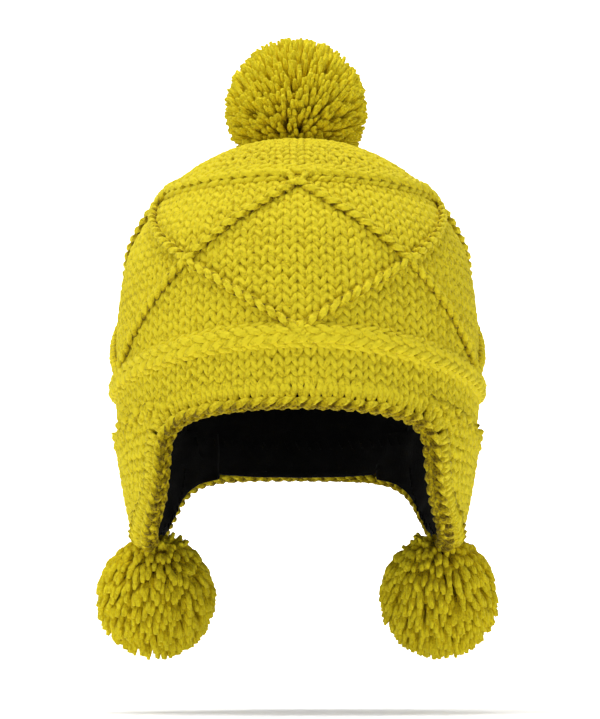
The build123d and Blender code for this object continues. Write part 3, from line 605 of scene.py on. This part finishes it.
# ---------------------------------------------------------------- pompoms
def pompom(name, body, node, O, Cn, R, n, r_yarn, mat, sign, curl, flat_z=None, seed=1):
    """Strands that leave the tie at O and end on a ball of radius R about Cn."""
    g = np.random.default_rng(seed)
    i = np.arange(n) + 0.5
    zc = 1 - 2 * i / n
    az = i * math.pi * (3 - math.sqrt(5))
    D = np.stack([np.sqrt(1 - zc ** 2) * np.cos(az), np.sqrt(1 - zc ** 2) * np.sin(az), zc], -1)
    D += g.normal(0, 0.05, D.shape); D /= np.linalg.norm(D, axis=-1, keepdims=True)
    Rn = R * (1 - np.abs(g.normal(0, 0.035, n)) + 0.012)
    inner = g.random(n) < (0.16 if sign > 0 else 0.36)
    Rn = np.where(inner, Rn * g.uniform(0.80, 0.93, n), Rn)
    E = Cn + D * Rn[:, None]
    if flat_z is not None:
        fz = flat_z(np.hypot(E[:, 0] - Cn[0], E[:, 1] - Cn[1]))
        E[:, 2] = np.maximum(E[:, 2], fz)
    m = 8
    u = np.linspace(0.12, 1, m)
    dirE = E - O
    axis = np.array([0, 0, float(sign)])
    # control point: strands leave nearly sideways and bend over the ball
    rad = dirE.copy(); rad[:, 2] = 0
    ctrl = O + dirE * 0.5 + (D * R * curl)
    ctrl += g.normal(0, R * 0.03, ctrl.shape)
    P = ((1 - u) ** 2)[None, :, None] * O + (2 * u * (1 - u))[None, :, None] * ctrl[:, None] + (u ** 2)[None, :, None] * E[:, None]
    ref = np.cross(dirE, axis + 0.13); ref /= np.linalg.norm(ref, axis=-1, keepdims=True)
    prof = np.array([0.55, 0.75, 0.9, 1.0, 1.04, 1.06, 1.02, 0.62])
    u_r = r_yarn * g.uniform(0.86, 1.14, n)[:, None] * prof[None]
    # painted shade: strands darker towards the tie in the middle of the ball, inner strands darker still
    dep = np.broadcast_to(np.clip((u - 0.35) * 1.5, -0.6, 1.0)[None], (n, m)) * np.where(inner, 0.75, 1.0)[:, None]
    Y = Yarn()
    Y.add(P, np.repeat(ref[:, None], m, axis=1), u_r, depth=dep, sides=6, twist=1.7, lobe=0.12)
    if sign < 0:
        # loose ends that stand up round the tie
        na = 26
        az = np.concatenate([math.pi * (Cn[0] > 0) + g.uniform(-1.5, 1.5, 16), g.uniform(0, TAU, na - 16)])
        el = g.uniform(0.45, 1.05, na)
        Dn = np.stack([np.cos(az) * np.cos(el), np.sin(az) * np.cos(el), np.sin(el)], -1)
        Dn[:, 1] *= 1.0
        Ln = g.uniform(16, 22, na)
        u2 = np.linspace(0.1, 1, m)
        E2 = O + Dn * Ln[:, None]
        c2 = O + Dn * (Ln * 0.5)[:, None] + np.array([0, 0, -2.0])
        P2 = ((1 - u2) ** 2)[None, :, None] * O + (2 * u2 * (1 - u2))[None, :, None] * c2[:, None] + (u2 ** 2)[None, :, None] * E2[:, None]
        r2 = np.cross(Dn, axis + 0.13); r2 /= np.linalg.norm(r2, axis=-1, keepdims=True)
        # painted shade: loose ends darker at the tie
        Y.add(P2, np.repeat(r2[:, None], m, axis=1), r_yarn * prof[None] * np.ones((na, 1)), depth=np.broadcast_to(np.clip(u2 * 1.1 - 0.1, 0, 1)[None], (na, m)), sides=6, twist=1.7, lobe=0.12)
    ob = Y.build(name, mat, "pompom_yarn")
    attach(ob, body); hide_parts(node)
    return ob


pompom("top_pompom_yarn", "top_pompom", "top_pompom_strands", np.array([0, 0, 157.0]), np.array([-0.8, 0, 171.4]), 37.2, 2200, 1.32, m_pom, 1, 0.14,
       flat_z=lambda r: 152.6 - 0.0035 * r ** 2 + 0.8, seed=11)
for sname, side in (("left", 1), ("right", -1)):
    pompom(f"{sname}_pompom_yarn", f"{sname}_pompom", f"{sname}_pompom_strands", np.array([side * 71.5, 0, -64.5]), np.array([side * 71.5, 0, -82.6]), 29.9, 1150, 1.42, m_pom, -1, 0.42,
           seed=21 + side)

# hidden small pieces keep their CAD shape, in twisted wool and thread
for nm, mat in (("crown_gather_yarn", m_tie), ("crown_anchor_knot", m_tie), ("lining_seam_thread", m_thread), ("brow_hem_stitches", m_thread), ("nape_hem_stitches", m_thread),
                ("left_earflap_hem_stitches", m_thread), ("right_earflap_hem_stitches", m_thread), ("left_pompom_tie", m_tie), ("right_pompom_tie", m_tie),
                ("left_pompom_binding", m_tie), ("right_pompom_binding", m_tie), ("top_pompom_tie", m_tie), ("top_pompom_binding", m_tie)):
    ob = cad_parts[nm]
    for sl in ob.material_slots: sl.material = mat
    if not ob.material_slots: ob.data.materials.append(mat)

# ---------------------------------------------------------------- floor, light, camera
FLOOR = -0.139
me = bpy.data.meshes.new("floor")
pts, fcs = [], []
ys = list(np.linspace(-3.0, 2.2, 12)); zs_ = [FLOOR] * 12
for k in range(1, 13):
    a = k / 12 * math.pi / 2
    ys.append(2.2 + 0.8 * math.sin(a)); zs_.append(FLOOR + 0.8 * (1 - math.cos(a)))
ys.append(3.0); zs_.append(5.0)
for x in (-6.0, 6.0):
    for y, z in zip(ys, zs_): pts.append((x, y, z))
n = len(ys)
fcs = [(i, i + 1, n + i + 1, n + i) for i in range(n - 1)]
me.from_pydata(pts, [], fcs)
fl = bpy.data.objects.new("floor", me); bpy.context.scene.collection.objects.link(fl)
mf = bpy.data.materials.new("pale_floor"); mf.use_nodes = True
bf = mf.node_tree.nodes["Principled BSDF"]
nz = mf.node_tree.nodes.new("ShaderNodeTexNoise"); nz.inputs["Scale"].default_value = 3.0
rp = mf.node_tree.nodes.new("ShaderNodeValToRGB")
rp.color_ramp.elements[0].color = (0.93, 0.93, 0.93, 1); rp.color_ramp.elements[1].color = (0.96, 0.96, 0.96, 1)
mf.node_tree.links.new(nz.outputs["Fac"], rp.inputs["Fac"]); mf.node_tree.links.new(rp.outputs["Color"], bf.inputs["Base Color"])
# painted shadow and glow: the floor glows less in a soft ellipse under and behind the hat, and more elsewhere so the
# floor looks white
tcf = mf.node_tree.nodes.new("ShaderNodeTexCoord"); mp = mf.node_tree.nodes.new("ShaderNodeMapping")
mp.inputs["Location"].default_value = (0.0, -0.40, -FLOOR / 1.0); mp.inputs["Scale"].default_value = (3.3, 0.95, 1.0)
gr = mf.node_tree.nodes.new("ShaderNodeTexGradient"); gr.gradient_type = "SPHERICAL"
mf.node_tree.links.new(tcf.outputs["Object"], mp.inputs["Vector"]); mf.node_tree.links.new(mp.outputs["Vector"], gr.inputs["Vector"])
em = mf.node_tree.nodes.new("ShaderNodeMapRange"); em.inputs["From Min"].default_value = 0.0; em.inputs["From Max"].default_value = 0.6
em.inputs["To Min"].default_value = 0.40; em.inputs["To Max"].default_value = 0.12
mf.node_tree.links.new(gr.outputs["Fac"], em.inputs["Value"]); mf.node_tree.links.new(em.outputs["Result"], bf.inputs["Emission Strength"])
bf.inputs["Emission Color"].default_value = (1, 1, 1, 1)
bf.inputs["Roughness"].default_value = 0.9
me.materials.append(mf)


def area(name, loc, target, size, power, color=(1, 1, 1)):
    l = bpy.data.lights.new(name, "AREA"); l.size = size; l.energy = power; l.color = color
    o = bpy.data.objects.new(name, l); bpy.context.scene.collection.objects.link(o)
    from mathutils import Vector
    o.location = loc
    o.rotation_euler = (Vector(target) - Vector(loc)).to_track_quat("-Z", "Y").to_euler()
    return o


area("key", (-0.9, -0.9, 1.75), (0, 0, 0.05), 0.7, 10.5)
area("fill", (1.3, -1.4, 0.7), (0, 0, 0.03), 1.3, 0.6)
area("top", (-0.1, -0.35, 1.9), (0, 0, 0), 0.9, 24)
area("back_wash", (0, 1.5, 1.4), (0, 2.9, 0.7), 2.2, 60)
w = bpy.data.worlds.new("studio"); w.use_nodes = True
w.node_tree.nodes["Background"].inputs[0].default_value = (1, 1, 1, 1)
w.node_tree.nodes["Background"].inputs[1].default_value = 0.20
bpy.context.scene.world = w

cam = bpy.data.cameras.new("camera"); co = bpy.data.objects.new("camera", cam)
bpy.context.scene.collection.objects.link(co)
EL, D, TZ = math.radians(8.0), 1.2, 0.046
co.location = (0.0, -D * math.cos(EL), TZ - D * math.sin(EL))
co.rotation_euler = (math.radians(90.0) + EL, 0, 0)
F_PX = D / 0.000513
cam.sensor_fit = "VERTICAL"; cam.sensor_height = 24.0
cam.lens = F_PX / 719.0 * 24.0
# the aim point falls at (297.5, 348) of 600 x 719
cam.shift_x = (300.0 - 297.5) / 719.0
cam.shift_y = -(359.5 - 348.2) / 719.0
bpy.context.scene.camera = co
bpy.context.scene.view_settings.view_transform = "Standard"
bpy.context.scene.view_settings.exposure = 0.0
